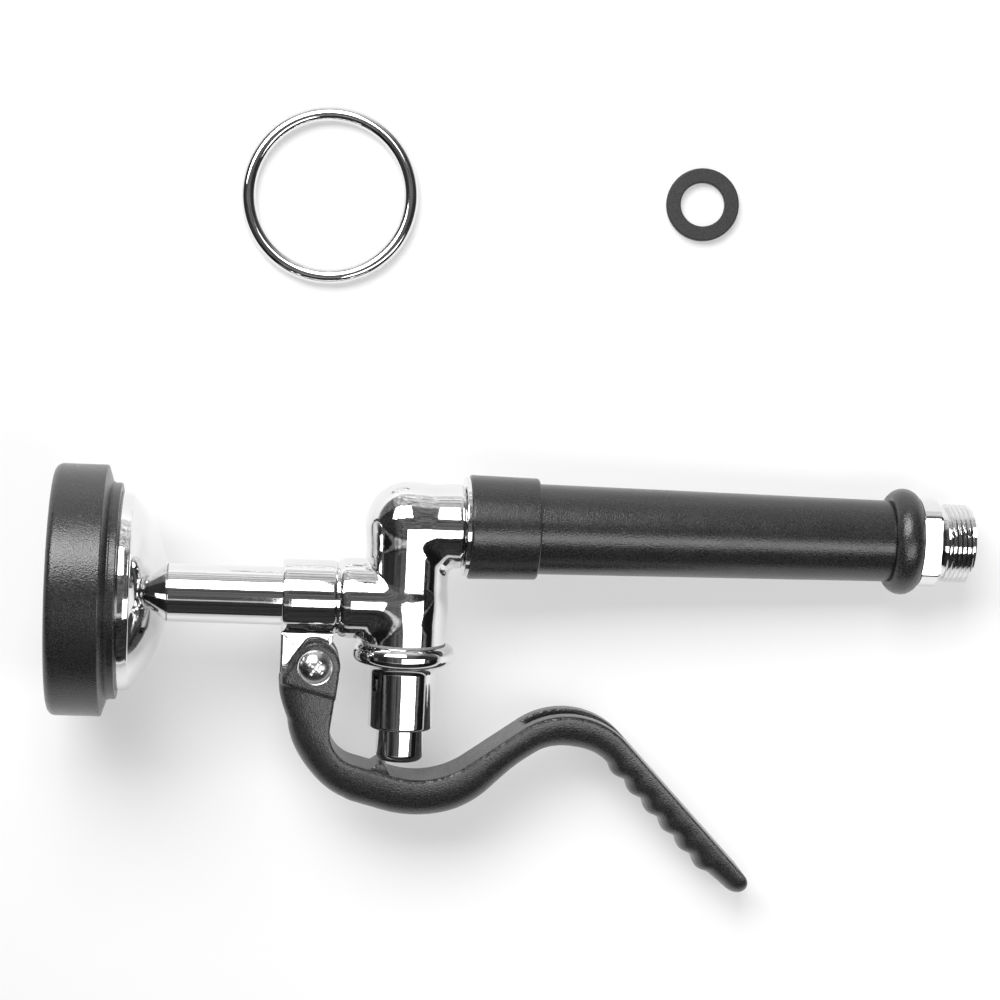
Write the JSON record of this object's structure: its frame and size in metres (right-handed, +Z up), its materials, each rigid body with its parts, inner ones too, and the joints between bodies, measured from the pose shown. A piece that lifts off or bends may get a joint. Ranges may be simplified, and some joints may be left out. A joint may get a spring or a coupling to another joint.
{
  "type": "pre-rinse spray valve",
  "caption": "Hand-held pre-rinse spray valve with squeeze lever, insulated grip, rubber-rimmed spray head, and a loose hold-down ring and hose washer.",
  "frame": {"origin": "on the bench under the middle of the whole set: the sprayer lying on its side, the hold-down ring and the hose washer", "axes": "+Z up from the bench, +X along the sprayer from the spray head to the inlet, +Y away from the lever, towards the loose ring"},
  "size_m": [0.247, 0.21, 0.0668],
  "materials": {
    "polished_chrome": "polished chrome plate on brass",
    "screw_chrome": "bright plated screw",
    "stainless": "plain stainless steel",
    "brass": "machined brass",
    "lever_plastic": "black coating with a fine grain",
    "grip_plastic": "black, fine satin grain",
    "bumper_rubber": "moulded black rubber",
    "washer_rubber": "black hose washer",
    "seal_rubber": "black nitrile",
    "fibre": "pressed fibre gasket"
  },
  "bodies": {
    "sprayer": {"valve_body": "polished_chrome", "bonnet": "polished_chrome", "bonnet_gasket": "fibre", "gland_bush": "brass", "stem_seals": "seal_rubber", "seat_insert": "brass", "return_spring": "stainless", "pivot_screw": "screw_chrome", "pivot_nut": "stainless", "pivot_bush": "brass", "nozzle_tube": "polished_chrome", "nozzle_seal": "seal_rubber", "spray_bell": "polished_chrome", "spray_plate": "stainless", "plate_seal": "seal_rubber", "plate_screw": "stainless", "bumper": "bumper_rubber", "joint_washer": "polished_chrome", "grip_tube": "stainless", "grip_collar": "grip_plastic", "grip_sleeve": "grip_plastic", "end_ring": "bumper_rubber", "inlet_connector": "polished_chrome", "inlet_seal": "seal_rubber"},
    "lever": {"lever": "lever_plastic"},
    "plunger": {"plunger": "polished_chrome", "valve_stem": "stainless", "disc_holder": "brass", "seat_washer": "seal_rubber", "stem_nut": "brass"},
    "hold_down_ring": {"hold_down_ring": "polished_chrome"},
    "hose_washer": {"hose_washer": "washer_rubber"}
  },
  "joints": [
    {"name": "lever_pivot", "type": "hinge", "parent": "sprayer", "child": "lever", "pos_m": [-0.05172, -0.04584, 0.02554], "axis": [0.0972, -0.1063, 0.9896], "range_deg": [0, 16], "stiffness_Nm_per_rad": 0.6, "springref_deg": -20.05},
    {"name": "plunger_slide", "type": "slide", "parent": "sprayer", "child": "plunger", "axis": [0.0104, 0.9943, 0.1058], "range_m": [0, 0.00605], "deforming": ["return_spring"]},
    {"name": "hold_down_ring_lift", "type": "slide", "parent": "sprayer", "child": "hold_down_ring", "axis": [0, 0, 1], "range_m": [0, 0.06]},
    {"name": "hose_washer_lift", "type": "slide", "parent": "sprayer", "child": "hose_washer", "axis": [0, 0, 1], "range_m": [0, 0.06]}
  ],
  "couplings": [
    {"joint": "plunger_slide", "follows": "lever_pivot", "m_per_rad": 0.021486}
  ]
}
